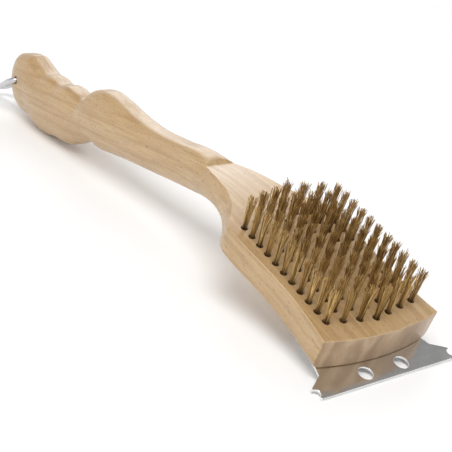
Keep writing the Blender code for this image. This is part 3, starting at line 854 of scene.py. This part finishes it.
def ring_path():
    """Closed centre line of the bent wire: crossbar on the x axis, rounded corners and a round tip."""
    bend = math.degrees(math.atan2(RING_HALF_WIDTH - RING_TIP, RING_REACH - RING_SHOULDER - RING_TIP))
    corner = (RING_HALF_WIDTH - RING_CORNER, RING_CORNER)
    half = [(0.15, 0.0), (0.3, 0.0), (RING_HALF_WIDTH * 0.4, 0.0)]
    half += arc_points(corner, RING_CORNER, -90, 0, 14)
    half.append((RING_HALF_WIDTH, RING_SHOULDER))
    half += arc_points((0, RING_REACH - RING_TIP), RING_TIP, bend * 0.6, 90, 14)
    path = half + [(-x, y) for x, y in reversed(half[:-1])]
    return [Vector((x, y, 0)) for x, y in path]


def build_ring(material):
    """Bent wire triangle; its crossbar runs through the pommel."""
    place = Matrix.Translation(body_point(RING_HOLE_AT[0], 0, RING_HOLE_AT[1]))
    turn = Matrix.Rotation(math.pi + spine(RING_HOLE_AT[0])[2] + RING_DROOP, 4, "X")
    points = ring_path()
    upwards = Vector((0, 0, 1))
    mesh_data = bmesh.new()
    rings = []
    for k, point in enumerate(points):
        along = (points[(k + 1) % len(points)] - point).normalized() + (point - points[k - 1]).normalized()
        across = along.normalized().cross(upwards)
        seam = RING_SEAM_SHARE if abs(point.x) < 0.2 and point.y < 1 else 1.0
        ring = []
        for side in range(RING_SIDES):
            angle = 2 * math.pi * side / RING_SIDES
            shift = across * math.cos(angle) + upwards * math.sin(angle)
            ring.append(mesh_data.verts.new(place @ turn @ (point + shift * RING_WIRE_RADIUS * seam)))
        rings.append(ring)
    for k, ring in enumerate(rings):
        after = rings[(k + 1) % len(rings)]
        for side in range(RING_SIDES):
            near = (side + 1) % RING_SIDES
            mesh_data.faces.new((ring[side], ring[near], after[near], after[side]))
    piece = link("hang_ring_visual", mesh_data, 60)
    piece.data.materials.append(material)
    put(piece, "ring", "ring_wire", "hang_ring")


# ---------------------------------------------------------------- stage, light, camera

def build_camera():
    """Camera placed in the head's frame and turned into the world."""
    camera = bpy.data.objects.new("camera", bpy.data.cameras.new("camera"))
    bpy.context.scene.collection.objects.link(camera)
    turn = TO_WORLD.to_3x3().normalized()
    right = (turn @ Vector(CAMERA_RIGHT)).normalized()
    up = (turn @ Vector(CAMERA_UP)).normalized()
    back = right.cross(up).normalized()
    frame_matrix = Matrix((right, up, back)).transposed().to_4x4()
    camera.matrix_world = Matrix.Translation(TO_WORLD @ Vector(CAMERA_AT)) @ frame_matrix
    camera.data.lens = CAMERA_LENS
    camera.data.sensor_width = 36
    camera.data.clip_start = 0.01
    bpy.context.scene.camera = camera


def area_light(name, place, target, size, power):
    """Round soft light at a place, turned towards a target."""
    data = bpy.data.lights.new(name, "AREA")
    data.shape = "DISK"
    data.size = size
    data.energy = power
    light = bpy.data.objects.new(name, data)
    bpy.context.scene.collection.objects.link(light)
    light.location = place
    light.rotation_euler = (Vector(target) - Vector(place)).to_track_quat("-Z", "Y").to_euler()


def build_floor():
    mesh_data = bmesh.new()
    bmesh.ops.create_grid(mesh_data, x_segments=2, y_segments=2, size=6.0)
    mesh = bpy.data.meshes.new("floor")
    mesh_data.to_mesh(mesh)
    mesh_data.free()
    floor = bpy.data.objects.new("floor", mesh)
    mesh.materials.append(floor_material())
    bpy.context.scene.collection.objects.link(floor)
    floor.location.z = -FLOOR_GAP


def build_lights():
    area_light("key", (0.5, 0.6, 1.7), (0, 0, 0), 1.3, 22)
    area_light("side", (1.3, 0.1, 0.8), (0, -0.1, 0), 1.0, 3)
    area_light("back", (-0.9, -1.1, 0.95), (0, 0.0, 0.02), 1.3, 8)


def build_world():
    """Studio surroundings: bright below and near the horizon, dimmer overhead."""
    world = bpy.data.worlds.new("studio")
    bpy.context.scene.world = world
    world.use_nodes = True
    tree = world.node_tree
    where = tree.nodes.new("ShaderNodeTexCoord").outputs["Generated"]
    split = tree.nodes.new("ShaderNodeSeparateXYZ")
    tree.links.new(where, split.inputs[0])
    ramp = tree.nodes.new("ShaderNodeValToRGB")
    while len(ramp.color_ramp.elements) < len(WORLD_LEVELS):
        ramp.color_ramp.elements.new(0.5)
    for element, (place, level) in zip(ramp.color_ramp.elements, WORLD_LEVELS):
        element.position = place
        element.color = (level, level, level, 1)
    tree.links.new(split.outputs["Z"], ramp.inputs["Fac"])
    background = tree.nodes["Background"]
    tree.links.new(ramp.outputs["Color"], background.inputs["Color"])
    background.inputs["Strength"].default_value = WORLD_STRENGTH
    bpy.context.scene.view_settings.view_transform = "Standard"


def main():
    build_camera()
    build_floor()
    build_lights()
    build_world()
    build_body(wood_material())
    build_tufts(brass_material(), WIRE_COUNT)
    build_plate(steel_material("bright_plate", (0.90, 0.90, 0.89), (0.80, 0.80, 0.79), 0.13, 0.19, 900))
    build_screws(steel_material("screw_steel", (0.62, 0.61, 0.58), (0.45, 0.44, 0.41), 0.28, 0.4, 1500))
    build_ring(steel_material("ring_wire", (0.66, 0.66, 0.67), (0.5, 0.5, 0.5), 0.25, 0.36, 1500))


main()
